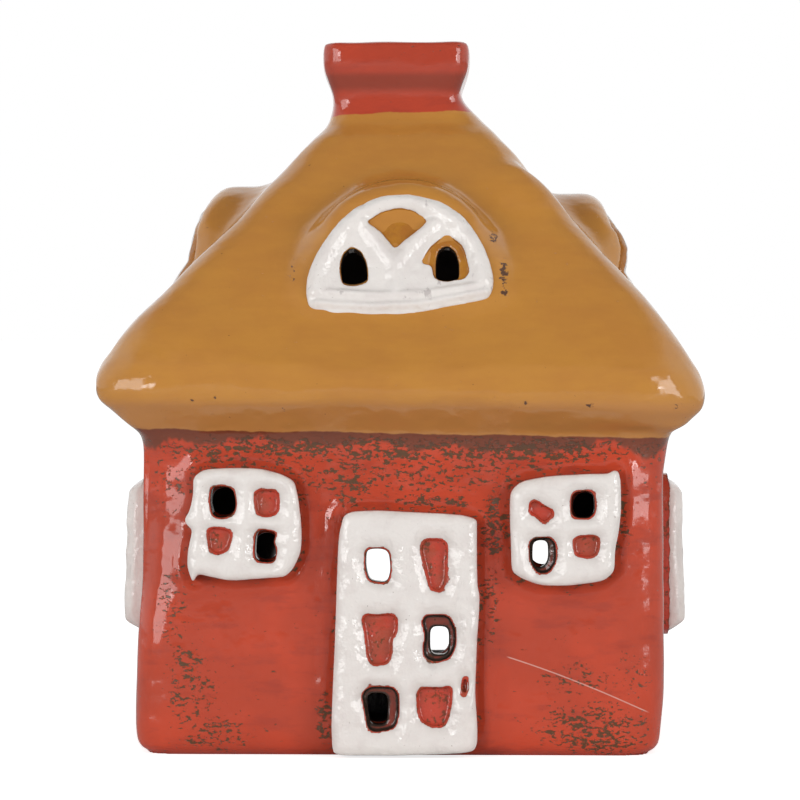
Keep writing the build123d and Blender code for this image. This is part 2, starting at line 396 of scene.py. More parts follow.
def parted(whole, name, low, high):
    """Copies the part of a closed piece between two heights, and closes its cuts with flat faces."""
    shape = bmesh.new()
    shape.from_mesh(whole.data)
    for level, upwards in ((low, -1), (high, 1)):
        if level is None:
            continue
        everything = list(shape.verts) + list(shape.edges) + list(shape.faces)
        cut = bmesh.ops.bisect_plane(
            shape, geom=everything, plane_co=(0, 0, level), plane_no=(0, 0, upwards), clear_outer=True
        )
        rim = [item for item in cut["geom_cut"] if isinstance(item, bmesh.types.BMEdge)]
        for edge in rim:
            edge.smooth = False
        lid = bmesh.ops.triangle_fill(shape, edges=rim, use_beauty=False, normal=(0, 0, upwards))
        for item in lid["geom"]:
            if isinstance(item, bmesh.types.BMFace):
                item.smooth = False
                if item.normal.z * upwards < 0:
                    item.normal_flip()
    return piece_from(name, closed(name, shape))


walls = parted(house, "clay_walls", None, roof_joint)
roof = parted(house, "clay_roof", roof_joint, chimney_joint)
chimney = parted(house, "clay_chimney", chimney_joint, None)
bpy.data.objects.remove(house)


def new_node(tree, kind, inputs, settings):
    """Adds a node with its settings, and sets or links its inputs."""
    node = tree.nodes.new(kind)
    for name, value in dict(settings).items():
        setattr(node, name, value)
    for name, value in dict(inputs).items():
        if isinstance(value, bpy.types.NodeSocket):
            tree.links.new(value, node.inputs[name])
        else:
            node.inputs[name].default_value = value
    return node


class Glaze:
    """One output of a material's nodes. Arithmetic on it adds Math nodes, and make adds any other node."""

    def __init__(self, tree, output):
        self.tree = tree
        self.output = output

    def make(self, kind, inputs=(), settings=(), output=0):
        inputs = {name: getattr(value, "output", value) for name, value in dict(inputs).items()}
        node = new_node(self.tree, kind, inputs, settings)
        return Glaze(self.tree, node.outputs[output] if node.outputs else None)

    def math(self, operation, first, second):
        return self.make("ShaderNodeMath", {0: first, 1: second}, {"operation": operation})

    def __add__(self, other):
        return self.math("ADD", self, other)

    def __sub__(self, other):
        return self.math("SUBTRACT", self, other)

    def __mul__(self, other):
        return self.math("MULTIPLY", self, other)

    def __rsub__(self, other):
        return self.math("SUBTRACT", other, self)

    def __abs__(self):
        return self.math("ABSOLUTE", self, 0.0)

    __radd__ = __add__

    def between(self, low, high):
        """Rises smoothly from 0 at low to 1 at high."""
        inputs = {"Value": self, "From Min": low, "From Max": high}
        return self.make("ShaderNodeMapRange", inputs, {"interpolation_type": "SMOOTHSTEP"})

    def band(self, low, full, fading, high):
        """Rises smoothly from 0 at low to 1 at full, and falls back from 1 at fading to 0 at high."""
        return self.between(low, full) * (1 - self.between(fading, high))

    def noise(self, scale, detail, roughness):
        inputs = {"Vector": self, "Scale": scale, "Detail": detail, "Roughness": roughness}
        return self.make("ShaderNodeTexNoise", inputs)

    def stretched(self, across, along, up):
        return self.make("ShaderNodeVectorMath", {0: self, 1: (across, along, up)}, {"operation": "MULTIPLY"})

    def part(self, axis):
        """One of the three values of a place or a direction."""
        return self.make("ShaderNodeSeparateXYZ", {0: self}, output=axis)

    def kept(self, name):
        """A value that the mesh keeps for each of its points."""
        return self.make("ShaderNodeAttribute", settings={"attribute_name": name}, output="Fac")

    def mixed(self, first, second):
        """A colour from first to second as this value goes from 0 to 1."""
        return self.make("ShaderNodeMix", {0: self, 6: first, 7: second}, {"data_type": "RGBA"}, 2)


def new_glaze(name):
    """An empty material, and the Object coordinates that its pattern follows."""
    material = bpy.data.materials.new(name)
    material.use_nodes = True
    material.node_tree.nodes.clear()
    start = Glaze(material.node_tree, None)
    return material, start.make("ShaderNodeTexCoord", output="Object")


def fire(place, colour, roughness, relief, relief_height, further=()):
    """Ends a material: its surface, with a bump from the relief, whose height is in metres."""
    bump = place.make("ShaderNodeBump", {"Height": relief, "Distance": relief_height})
    inputs = {"Base Color": colour, "Roughness": roughness, "Normal": bump, **dict(further)}
    surface = place.make("ShaderNodeBsdfPrincipled", inputs)
    place.make("ShaderNodeOutputMaterial", {"Surface": surface})


red = (0.49, 0.060, 0.026, 1)
red_bright = (0.57, 0.066, 0.027, 1)
red_thin_and_shade = (0.36, 0.048, 0.028, 1)
red_shaded = (0.24, 0.040, 0.020, 1)
mustard = (0.545, 0.243, 0.047, 1)
mustard_deep = (0.505, 0.216, 0.045, 1)
mustard_in_shade = (0.51, 0.225, 0.065, 1)
worn_body = (0.080, 0.050, 0.019, 1)
stain = (0.105, 0.048, 0.026, 1)
near_black_shade = (0.034, 0.022, 0.016, 1)
scratched = (0.72, 0.42, 0.36, 1)


def house_glaze():
    """Red below the roof and on the chimney, mustard on the roof, worn in patches, under a clear glaze, with
    painted shade under the eave, on the chimney and inside.
    """
    material, place = new_glaze("house_glaze")
    across = place.part(0)
    back = place.part(1)
    height = place.part(2)
    wear = place.kept("wear")
    inside = place.kept("inside")
    clouds = place.noise(60, 3.0, 0.55)
    strokes = place.stretched(0.3, 0.3, 1.0).noise(420, 4.0, 0.6)
    wobble = place.noise(170, 3.0, 0.6) - 0.5
    grain = place.stretched(0.62, 0.62, 1.0).noise(1700, 4.0, 0.62)
    fleck = place.stretched(0.4, 0.4, 1.0).noise(560, 5.0, 0.7)

    reds = clouds.between(0.40, 0.62).mixed(red, red_bright)
    reds = (strokes.between(0.50, 0.72) * 0.55).mixed(reds, red_thin_and_shade)
    zone = wear + (fleck - 0.5) * 1.7
    worn = (grain - (0.70 - zone * 0.26)).between(0.0, 0.05)
    reds = (worn * 0.92).mixed(reds, worn_body)

    # A fine bowed scratch runs down the front wall from the door to the right
    past_door = across - 18.9 * mm
    beside = height - 17.8 * mm + past_door * 0.395 + past_door * (across - 44.3 * mm) * 3.0
    scratch = (1 - abs(beside).between(0.06 * mm, 0.16 * mm)) * (1 - back.between(-42 * mm, -41 * mm))
    scratch = scratch * across.band(18.7 * mm, 19.5 * mm, 43 * mm, 44.5 * mm)
    reds = (scratch * 0.75).mixed(reds, scratched)

    # A dark stain runs down from the joint with the roof, which slants a little
    line = height + across * 0.0172
    runs = place.stretched(1.0, 1.0, 0.3).noise(110, 4.0, 0.62) - 0.5
    stained = (line + runs * 0.011).between(55.2 * mm, 56.2 * mm) * (1 - height.between(70 * mm, 80 * mm))
    reds = (stained * 0.80).mixed(reds, stain)

    # The whole chimney is darkened towards the thin red as painted shade, and the flare of its collar more,
    # with darker painted shade
    reds = (height.between(113 * mm, 118 * mm) * 0.4).mixed(reds, red_thin_and_shade)
    shaded = height.band(119.7 * mm, 121.5 * mm, 122.9 * mm, 124.3 * mm)
    reds = (shaded * 0.75).mixed(reds, red_shaded)

    mustards = (strokes * 0.5 + clouds * 0.5).between(0.36, 0.66).mixed(mustard, mustard_deep)
    # Under the eave the mustard is darker and browner: painted shade
    soffit = (1 - (height + wobble * mm).between(62.2 * mm, 64.2 * mm)) * (0.62 + strokes * 0.6)
    mustards = soffit.mixed(mustards, mustard_in_shade)
    pits = place.noise(1500, 2.0, 0.5).between(0.765, 0.79)
    mustards = (pits * 0.8).mixed(mustards, stain)
    mustards = (worn * wear.between(0.3, 0.5)).mixed(mustards, stain)

    ragged = wobble * (1.2 * mm)
    above = (line + ragged).between(57.4 * mm, 57.7 * mm)
    below = 1 - (height + ragged - across * 0.03).between(116.2 * mm, 116.5 * mm)
    colour = (above * below).mixed(reds, mustards)
    # The room, the flue and the hollows of the hoods are near-black: painted shade
    colour = inside.between(0.4, 0.6).mixed(colour, near_black_shade)
    roughness = 0.07 + worn * 0.25 + strokes * 0.05 + inside * 0.4
    relief = clouds * 0.42 + place.noise(240, 2.0, 0.5) * 0.18 + strokes * 0.03 - worn * 0.05 + fleck * 0.01
    fire(place, colour, roughness, relief, 0.9 * mm, {"IOR": 1.5})
    return material


glazed = house_glaze()
for piece, slot, replaced in (
    (walls, "red_glaze", slab_nodes),
    (roof, "mustard_glaze", roof_nodes + hood_nodes),
    (chimney, "red_glaze", chimney_nodes),
):
    piece.data.materials.append(glazed)
    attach(piece, "house")
    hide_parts(*replaced)

# The windows in the front wall.
# Each is a thick clay plate, cut by hand and pressed on, with two panes poked right through and two blind.
# White glaze is brushed over the plate, and its sides and the blind panes keep the red.
plate_voxel = 0.28 * mm
plate_thickness = 4.8 * mm
plate_root = 0.7 * mm
pane_depth = 1.9 * mm
white_from = 3.2 * mm


class Spot:
    """A place on the house that a plate is laid on: its origin, and its directions across, up and out."""

    def __init__(self, origin, across, up, out):
        self.origin = np.array(origin)
        self.axes = np.array([across, up, out], float)

    def place(self, local):
        return self.origin + local @ self.axes

    def measure(self, world):
        return (world - self.origin) @ self.axes.T


def prism(name, spot, outline, low, high):
    """Solid with a drawn outline, in millimetres across and up, between two heights over the wall."""
    count = len(outline)
    across_up = np.array(outline) * mm
    levels = [np.column_stack([across_up, np.full(count, level)]) for level in (low, high)]
    faces = [list(range(count))[::-1], list(range(count, 2 * count))]
    faces += [[n, (n + 1) % count, count + (n + 1) % count, count + n] for n in range(count)]
    shape = bmesh.new()
    shape.from_mesh(mesh_from(name, spot.place(np.vstack(levels)), faces))
    bmesh.ops.recalc_face_normals(shape, faces=shape.faces)
    return piece_from(name, closed(name, shape))


def cut_by(piece, cutters):
    """Cuts pieces out of another, and throws them away."""
    for cutter in cutters:
        difference = piece.modifiers.new("cut", "BOOLEAN")
        difference.operation = "DIFFERENCE"
        difference.solver = "EXACT"
        difference.object = cutter
    baked(piece)
    for cutter in cutters:
        bpy.data.objects.remove(cutter)
    return piece


def distance_to(across, up, line, closed=False):
    """Distance from each point to a line of straight runs, all in the plate's own plane."""
    ends = np.array(line, float) * mm
    pairs = list(zip(ends[:-1], ends[1:]))
    if closed:
        pairs.append((ends[-1], ends[0]))
    nearest = np.full(len(across), 1.0)
    here = np.column_stack([across, up])
    for start, end in pairs:
        run = end - start
        share = np.clip(((here - start) @ run) / max(run @ run, 1e-12), 0, 1)
        nearest = np.minimum(nearest, np.linalg.norm(here - start - share[:, None] * run, axis=1))
    return nearest


def within(across, up, outline):
    """Whether each point lies inside a closed outline, from how often a line to its right crosses it."""
    ends = np.array(outline, float) * mm
    inside = np.zeros(len(across), bool)
    for start, end in zip(ends, np.roll(ends, -1, axis=0)):
        crosses = (start[1] > up) != (end[1] > up)
        rise = end[1] - start[1] if end[1] != start[1] else 1.0
        inside ^= crosses & (across < start[0] + (up - start[1]) * (end[0] - start[0]) / rise)
    return inside


def rounded_off(outline, off=0.16):
    """Cuts the corners of a drawn outline twice, because wet clay keeps none."""
    points = np.array(outline, float)
    for _ in range(2):
        after = np.roll(points, -1, axis=0)
        cuts = [(1 - off) * points + off * after, off * points + (1 - off) * after]
        points = np.stack(cuts, axis=1).reshape(-1, 2)
    return points


def plate(
    name, spot, outline, thickness, holes, blind, depth, seed, paint_from, ledges=(), rounds=9,
    shape_relief=None, settle=None, edge_sink=0.6 * mm, rim_width=0.45 * mm, dent=0.85 * mm,
    bare_edge=0.01 * mm,
):
    """A plate with holes, blind panes and ledges, softened as wet clay is, with where its white lies and
    where painted shade darkens its holes.
    """
    outline = rounded_off(outline)
    holes = [rounded_off(hole) for hole in holes]
    blind = [rounded_off(pane) for pane in blind]
    ledges = [rounded_off(ledge) for ledge in ledges]
    piece = prism(name, spot, outline, -plate_root, thickness)
    over = thickness + plate_root
    cutters = [prism("hole", spot, hole, -3 * plate_root, over) for hole in holes]
    cutters += [prism("pane", spot, pane, thickness - depth, over) for pane in blind + ledges]
    fused(cut_by(piece, cutters), plate_voxel)
    mean = neighbour_mean(piece.data)
    world = wiped(points_of(piece.data), mean, rounds)
    local = spot.measure(world)
    across, up, out = local.T
    raised = ramp(out, 0.45 * thickness, 0.9 * thickness)
    edge = distance_to(across, up, outline, closed=True)
    sink = edge_sink * bell(edge, 2.6 * mm) ** 2
    rims = np.zeros(len(world))
    for pane in holes + blind + ledges:
        away = distance_to(across, up, pane, closed=True)
        sink = np.maximum(sink, dent * bell(away, 3.2 * mm) ** 1.4)
        rims = np.maximum(rims, bell(away, rim_width))
    sink += 0.17 * mm * ripple(world, 7 * mm, seed) + 0.06 * mm * ripple(world, 2.6 * mm, seed + 50)
    relief = np.zeros(len(world)) if shape_relief is None else shape_relief(across, up)
    out = out - (sink - relief) * raised
    out = np.minimum(out, thickness + 0.2 * mm)
    world = spot.place(np.column_stack([across, up, out]))
    if settle is not None:
        world = settle(world)
    set_points(piece.data, wiped(world, mean, 3))

    facing = normals_of(piece.data) @ spot.axes[2]
    flank = (edge < 1.5 * mm) * (1 - ramp(facing, 0.4, 0.8))
    over_panes = (out - relief * raised - (thickness - depth)) / depth - 0.45 * rims
    # The walls of the holes are pushed far under the paint, so the glaze paints them near-black as painted
    # shade
    for hole in holes:
        near_hole = 1 - ramp(distance_to(across, up, hole, closed=True), 0.6 * mm, 1.0 * mm)
        over_panes -= 2.2 * near_hole * (1 - ramp(facing, 0.3, 0.7))
    # The slanting ledges beside holes are pushed under the paint too, so the glaze paints them dark brown as
    # painted shade
    for ledge in ledges:
        near_ledge = within(across, up, ledge) | (distance_to(across, up, ledge, closed=True) < 0.25 * mm)
        over_panes -= near_ledge * (over_panes < 0.7) * (1.2 + 0.7 * (1 - ramp(facing, 0.6, 0.9)))
    over_panes -= 1.2 * bell(edge, bare_edge)
    over_flank = 0.45 + (out - paint_from) / (1.2 * mm)
    keep(piece.data, "lift", over_panes * (1 - flank) + over_flank * flank)
    return piece


def luted(spot, outline):
    """The joint round a plate on a wall: a low ridge of slip, and glaze worn off beside the plate."""
    points = points_of(walls.data)
    across, up, out = spot.measure(points).T
    away = distance_to(across, up, rounded_off(outline), closed=True)
    near = np.abs(out) < 2.2 * mm
    slip = 0.5 * mm * bell(away - 1.9 * mm, 1.5 * mm) * (0.75 + 0.4 * ripple(points, 14 * mm, 61))
    set_points(walls.data, spot.place(np.column_stack([across, up, out + near * slip])))
    wear = np.empty(len(points))
    kept = walls.data.attributes["wear"].data
    kept.foreach_get("value", wear)
    kept.foreach_set("value", np.maximum(wear, near * 0.62 * bell(away, 1.4 * mm)))


def plate_glaze(name, under, under_deep, grey_share, mottled):
    """White brushed over the clay, greyish in its dents where it runs thin and painted shade darkens it, with
    the colour under it at sides and panes, and near-black painted shade in the holes.
    """
    material, place = new_glaze(name)
    lift = place.kept("lift")
    smears = place.noise(190, 4.0, 0.6)
    ragged = place.noise(620, 5.0, 0.65) - 0.5
    fine = place.noise(1500, 3.0, 0.6)
    brushed = place.stretched(1.0, 1.0, 0.5).noise(330, 4.0, 0.65)
    whites = smears.between(0.46, 0.70).mixed((0.83, 0.785, 0.75, 1), (0.785, 0.73, 0.70, 1))
    whites = (brushed.between(0.62, 0.70) * grey_share).mixed(whites, (0.46, 0.41, 0.40, 1))
    # Greyer in the dents: thin glaze, and painted shade
    whites = ((1 - lift.between(0.45, 0.92)) * 0.45).mixed(whites, (0.56, 0.50, 0.47, 1))
    whites = (fine.between(0.70, 0.74) * 0.55).mixed(whites, (0.30, 0.22, 0.20, 1))
    unders = smears.between(0.42, 0.6).mixed(under, under_deep)
    unders = ((fine * 0.5 + brushed * 0.5).between(0.52, 0.60) * mottled).mixed(unders, worn_body)
    covered = (lift + ragged * 0.75).between(0.41, 0.48)
    colour = covered.mixed(unders, whites)
    # Hole walls and ledges take near-black and dark brown painted shade
    colour = (1 - lift.between(-1.6, -0.9)).mixed(colour, near_black_shade)
    relief = smears * 0.7 + place.noise(420, 3.0, 0.55) * 0.35 + covered * 0.2
    fire(place, colour, 0.07 + fine * 0.08, relief, 0.7 * mm, {"IOR": 1.5})
    return material


window_glaze = plate_glaze("window_glaze", (0.55, 0.068, 0.040, 1), (0.42, 0.075, 0.042, 1), 0.15, 0.75)
left_outline = [
    (-9.0, 8.4), (-7.2, 9.8), (-2.3, 10.1), (3.0, 10.0), (6.9, 8.9), (9.0, 7.7), (9.7, 4.5), (10.1, 1.0),
    (10.3, -1.9), (10.1, -5.0), (8.7, -7.9), (7.3, -9.3), (2.3, -9.6), (-2.3, -10.0), (-5.8, -9.3),
    (-8.3, -8.7), (-9.0, -10.5), (-9.5, -9.3), (-10.1, -7.5), (-10.0, -4.7), (-9.1, -0.8), (-10.2, -0.1),
    (-10.6, 1.0), (-9.7, 2.2), (-9.0, 5.2),
]
left_holes = [
    [(-5.4, 1.5), (-3.6, 1.3), (-1.9, 1.9), (-1.4, 3.6), (-1.9, 6.3), (-3.6, 6.8), (-5.7, 6.6),
     (-5.9, 4.0)],
    [(1.9, -6.4), (5.4, -6.6), (5.7, -4.4), (5.1, -3.0), (5.8, -1.3), (2.2, -0.9)],
]
left_blind = [
    [(2.4, 2.0), (3.6, 1.6), (5.9, 1.9), (6.2, 5.9), (2.0, 6.1)],
    [(-4.6, -5.2), (-2.9, -4.4), (-2.0, -1.2), (-6.4, -0.4), (-6.0, -4.4)],
]
right_outline = [
    (-9.7, 6.7), (-7.7, 8.6), (-2.8, 9.5), (4.4, 9.9), (7.9, 9.9), (8.5, 10.6), (9.5, 10.5), (9.9, 8.6),
    (10.0, 3.7), (9.6, -0.2), (8.9, -3.5), (8.8, -7.4), (6.9, -9.1), (1.1, -9.9), (-4.3, -9.9),
    (-7.7, -8.6), (-9.4, -7.4), (-9.5, -2.6), (-9.7, 1.3),
]
right_holes = [
    [(1.2, 2.3), (4.4, 2.1), (5.3, 3.2), (5.1, 6.2), (4.4, 6.8), (1.3, 6.6)],
    [(-5.7, -5.6), (-4.9, -6.9), (-3.5, -6.4), (-2.9, -5.2), (-3.0, -1.9), (-5.6, -2.0)],
]
right_ledges = [
    [(-5.9, -5.6), (-4.6, -7.6), (-2.9, -7.4), (-1.7, -5.6), (-1.8, -2.4), (-2.6, -1.6), (-5.2, -1.6),
     (-6.1, -2.2)],
]
right_blind = [
    [(-6.1, 3.1), (-4.9, 2.5), (-3.6, 1.3), (-2.7, 2.2), (-2.1, 2.6), (-2.3, 3.4), (-3.8, 4.1), (-4.8, 4.9),
     (-5.6, 5.0), (-6.1, 4.6)],
    [(1.9, -4.6), (5.6, -4.7), (6.1, -1.1), (1.6, -1.4)],
]
for name, middle, drawn, holes, blind, ledges, seed in (
    ("front_left_window", (-27.7, 41.4), left_outline, left_holes, left_blind, [], 31),
    ("front_right_window", (29.1, 40.6), right_outline, right_holes, right_blind, right_ledges, 32),
):
    spot = Spot((middle[0] * mm, -wall_half_depth, middle[1] * mm), (1, 0, 0), (0, 0, 1), (0, -1, 0))
    piece = plate(
        name + "_plate", spot, drawn, plate_thickness, holes, blind, pane_depth, seed, white_from, ledges
    )
    luted(spot, drawn)
    piece.data.materials.append(window_glaze)
    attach(piece, "house")
    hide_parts(name)

# The windows in the side walls.
# They are larger plates of the same clay and glaze, and pressed on with the thumb, so they are pillowy.
side_outline = [
    (-8.6, 14.0), (-4.0, 15.2), (4.5, 15.1), (8.8, 13.6), (10.9, 9.6), (10.9, 0.5), (11.0, -9.2),
    (8.9, -13.8), (4.0, -15.3), (-4.4, -15.1), (-9.2, -13.6), (-10.9, -8.6), (-10.8, 0.0), (-10.9, 9.8),
]
side_holes = [
    [(1.6, -9.4), (6.3, -9.6), (6.7, -2.2), (4.0, -1.6), (1.5, -1.9)],
    [(-6.6, 1.9), (-1.8, 1.6), (-1.5, 9.3), (-4.1, 9.8), (-6.8, 9.2)],
]
side_blind = [
    [(-6.5, -9.3), (-1.7, -9.5), (-1.5, -2.0), (-6.7, -1.7)],
    [(1.7, 1.9), (6.4, 1.7), (6.6, 9.4), (1.6, 9.6)],
]


def thumbed(across, up):
    """How the clay of a side window has slipped down towards its foot, and thins to both ends."""
    slipped = 0.4 * mm * np.clip(-up / (11 * mm), -1, 1)
    return slipped - 2.6 * mm * ramp(np.abs(up), 11.4 * mm, 15.6 * mm)


for name, side, thickness, paint_from, seed in (
    ("left_window", -1, 6.2 * mm, 1.2 * mm, 33),
    ("right_window", 1, 5.4 * mm, 2.6 * mm, 34),
):
    spot = Spot((side * wall_half_width, 0, 33.8 * mm), (0, side, 0), (0, 0, 1), (side, 0, 0))
    piece = plate(
        name + "_plate", spot, side_outline, thickness, side_holes, side_blind, 1.7 * mm, seed, paint_from,
        rounds=14, shape_relief=thumbed, edge_sink=1.3 * mm,
    )
    piece.data.materials.append(window_glaze)
    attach(piece, "house")
    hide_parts(name)

# The door.
# It is a tall plate of the same clay and glaze with three rows of panes, three of them poked right through.
door_outline = [
    (-10.9, 43.2), (-9.2, 43.8), (-4.9, 44.0), (0.9, 43.7), (7.4, 43.4), (10.6, 43.1), (12.8, 42.4),
    (12.7, 41.0), (12.7, 35.0), (12.8, 30.4), (13.2, 29.1), (13.1, 26.1), (12.7, 20.3), (12.5, 14.5),
    (12.4, 11.5), (12.8, 5.7), (12.8, 2.7), (12.2, 1.3), (9.7, 0.9), (3.9, 0.7), (-2.1, 0.5), (-11.5, 0.5),
    (-12.9, 0.9), (-13.1, 5.7), (-12.9, 11.5), (-12.5, 20.3), (-12.2, 29.1), (-12.0, 35.0), (-11.8, 39.4),
]
door_holes = [
    [(-6.4, 31.6), (-3.2, 31.2), (-2.6, 33.4), (-2.9, 36.6), (-4.0, 37.2), (-6.9, 37.1), (-7.0, 34.0)],
    [(4.4, 19.0), (5.0, 18.4), (7.2, 18.4), (7.7, 19.5), (7.7, 23.3), (4.4, 23.4)],
    [(-6.5, 7.0), (-6.0, 5.9), (-3.6, 5.9), (-3.2, 7.2), (-3.1, 11.4), (-6.9, 11.5)],
]
door_ledges = [
    [(3.7, 17.9), (5.6, 17.3), (8.0, 18.2), (8.8, 20.5), (8.7, 23.0), (7.6, 25.3), (3.6, 25.3), (3.2, 24.3),
     (3.8, 22.0), (3.4, 19.4)],
    [(-6.4, 5.2), (-5.0, 4.9), (-2.0, 5.5), (-1.3, 8.0), (-1.4, 11.4), (-2.2, 12.5), (-6.2, 12.6),
     (-7.5, 11.4), (-6.9, 8.4)],
]
door_blind = [
    [(4.6, 30.2), (6.2, 29.7), (7.1, 31.6), (7.3, 38.0), (6.2, 38.8), (3.4, 38.7), (2.9, 36.8),
     (3.9, 33.0)],
    [(-5.9, 16.7), (-3.1, 17.0), (-2.6, 18.5), (-2.5, 21.4), (-1.9, 21.9), (-1.6, 22.9), (-1.6, 24.8),
     (-2.5, 25.5), (-5.4, 25.2), (-6.9, 25.5), (-7.5, 24.6), (-6.9, 22.1), (-6.6, 18.2)],
    [(4.3, 5.9), (6.8, 5.9), (7.4, 7.1), (8.0, 9.6), (8.2, 12.4), (7.6, 12.8), (6.8, 12.4), (2.7, 12.4),
     (2.3, 11.5), (2.3, 9.4), (2.8, 7.0)],
    [(10.1, 11.2), (10.8, 11.3), (11.0, 14.4), (10.3, 14.3)],
]
door_spot = Spot((0.9 * mm, -wall_half_depth, 0), (1, 0, 0), (0, 0, 1), (0, -1, 0))
door = plate(
    "door_plate", door_spot, door_outline, plate_thickness, door_holes, door_blind, pane_depth, 35,
    white_from, door_ledges,
)
luted(door_spot, door_outline)
door.data.materials.append(window_glaze)
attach(door, "house")
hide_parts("door")

# The lunettes of the dormers.
# Each is a half-round plate, pressed against the end of its hood, with a rim and a forked bar left standing.
# A mustard fan lies between the bar's arms, and two small arched panes are poked through.
dormer_lean = math.radians(20)
lunette_low = -2.0 * mm
lunette_outline = [
    (-17.0, 3.5), (-16.9, 6.2), (-16.4, 8.4), (-15.3, 11.2), (-13.6, 14.1), (-11.6, 17.1), (-9.1, 19.6),
    (-6.5, 21.3), (-3.7, 22.4), (-0.1, 22.9), (3.0, 22.7), (5.5, 22.0), (8.1, 20.6), (10.7, 18.7),
    (13.0, 15.8), (14.8, 12.5), (15.8, 9.7), (16.5, 6.8), (16.4, 4.5), (15.6, 2.6), (12.8, 1.8), (8.2, 1.0),
    (3.2, -0.1), (-0.9, -0.8), (-5.5, -0.7), (-9.0, -0.2), (-12.1, -0.5), (-14.6, 0.1), (-16.4, 0.9),
]
arch_holes = [
    [(-10.4, 5.3), (-8.0, 5.1), (-6.0, 5.8), (-6.2, 9.0), (-7.3, 11.6), (-9.0, 12.5), (-10.4, 11.2),
     (-10.9, 8.6)],
    [(6.3, 6.2), (8.6, 6.0), (10.2, 6.4), (10.2, 9.5), (9.6, 11.8), (8.1, 13.0), (6.6, 12.0), (6.2, 9.5)],
]
fan = [
    (-6.3, 17.1), (-3.4, 19.1), (-0.6, 19.7), (2.0, 19.3), (4.5, 17.4), (3.0, 15.8), (0.5, 13.9),
    (-1.2, 12.3), (-2.1, 13.6), (-3.4, 15.2), (-4.7, 16.2),
]
arch_recess = [
    (3.6, 9.4), (5.2, 12.4), (8.1, 14.8), (10.9, 12.6), (12.1, 7.9), (11.2, 6.2), (6.0, 6.2), (5.6, 9.0),
]
rim_line = [
    (-15.2, 4.2), (-15.0, 7.4), (-13.6, 11.0), (-11.0, 15.6), (-7.4, 18.9), (-3.2, 20.8), (1.0, 21.0),
    (6.0, 19.6), (10.6, 16.4), (13.6, 11.0), (14.6, 6.2),
]
fork_lines = [
    [(-1.1, 3.6), (-1.3, 8.8), (-4.8, 14.2), (-7.0, 17.2)],
    [(-1.3, 8.8), (1.4, 12.6), (5.6, 17.0)],
]
sill_lines = [
    [(-15.0, 1.6), (-5.0, 1.0), (3.0, 1.4), (15.0, 3.8)],
    [(-13.0, 3.6), (-4.0, 3.2), (4.0, 3.4), (13.4, 5.0)],
]


def lunette_relief(across, up):
    """How far the rim, the forked bar and the ridges over the sill stand up from the plate."""
    raised = 0.8 * mm * bell(distance_to(across, up, rim_line), 2.2 * mm)
    for line in fork_lines:
        raised = np.maximum(raised, 0.75 * mm * bell(distance_to(across, up, line), 1.9 * mm))
    for line in sill_lines:
        raised = np.maximum(raised, 0.7 * mm * bell(distance_to(across, up, line), 1.1 * mm))
    return raised - 0.7 * mm


lunette_glaze = plate_glaze("lunette_glaze", (0.46, 0.19, 0.022, 1), (0.40, 0.15, 0.022, 1), 0.7, 0.1)
for name, across, outwards, reach, stand, paint_from, bare_edge, seed in (
    ("front_dormer_face", (1, 0, 0), (0, -1, 0), 42.2 * mm, 1.3 * mm, 1.6 * mm, 0.01 * mm, 41),
    ("left_dormer_face", (0, -1, 0), (-1, 0, 0), 45.6 * mm, 0.7 * mm, 2.6 * mm, 1.8 * mm, 42),
    ("right_dormer_face", (0, 1, 0), (1, 0, 0), 45.6 * mm, 0.7 * mm, 2.6 * mm, 1.8 * mm, 43),
):
    upwards = np.array([0, 0, 1])
    outwards = np.array(outwards)
    lean_out = outwards * math.cos(dormer_lean) + upwards * math.sin(dormer_lean)
    lean_up = -outwards * math.sin(dormer_lean) + upwards * math.cos(dormer_lean)
    origin = outwards * reach + upwards * dormer_sill * mm + lean_out * lunette_low
    spot = Spot(origin, across, lean_up, lean_out)
    piece = plate(
        name + "_plate", spot, lunette_outline, stand - lunette_low, arch_holes, [fan, arch_recess],
        depth=1.6 * mm, seed=seed, paint_from=paint_from, rounds=7, shape_relief=lunette_relief,
        edge_sink=0.2 * mm, rim_width=0.3 * mm, dent=0.3 * mm, bare_edge=bare_edge, settle=pushed_in,
    )
    piece.data.materials.append(lunette_glaze)
    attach(piece, "house")
    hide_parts(name)

# The tealight.
# A cup of pleated aluminium foil holds pressed wax, and a braided wick stands in a small tinplate foot.
cup_low, cup_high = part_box("tealight_cup")
cup_middle = (cup_low + cup_high) / 2
cup_radius = 18.6 * mm
rim_radius = (cup_high.x - cup_low.x) / 2
cup_base = cup_low.z
cup_top = cup_high.z
wax_low, wax_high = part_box("tealight_wax")
wick_low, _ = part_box("tealight_wick")
holder_low, holder_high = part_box("wick_holder")


def turned_mesh(name, profile, steps=96):
    """Closed solid from a profile of radius and height, both in metres, turned about the tealight's axis."""
    points = []
    for radius, level in profile:
        for step in range(steps):
            angle = 2 * math.pi * step / steps
            across = radius * math.cos(angle)
            along = radius * math.sin(angle)
            points.append((cup_middle.x + across, cup_middle.y + along, level))
    faces = []
    for ring in range(len(profile)):
        here = ring * steps
        after = (ring + 1) % len(profile) * steps
        for step in range(steps):
            following = (step + 1) % steps
            faces.append((here + step, here + following, after + following, after + step))
    shape = bmesh.new()
    shape.from_mesh(mesh_from(name, points, faces))
    bmesh.ops.remove_doubles(shape, verts=shape.verts, dist=same_point)
    bmesh.ops.recalc_face_normals(shape, faces=shape.faces)
    for face in shape.faces:
        face.smooth = True
    return closed(name, shape)


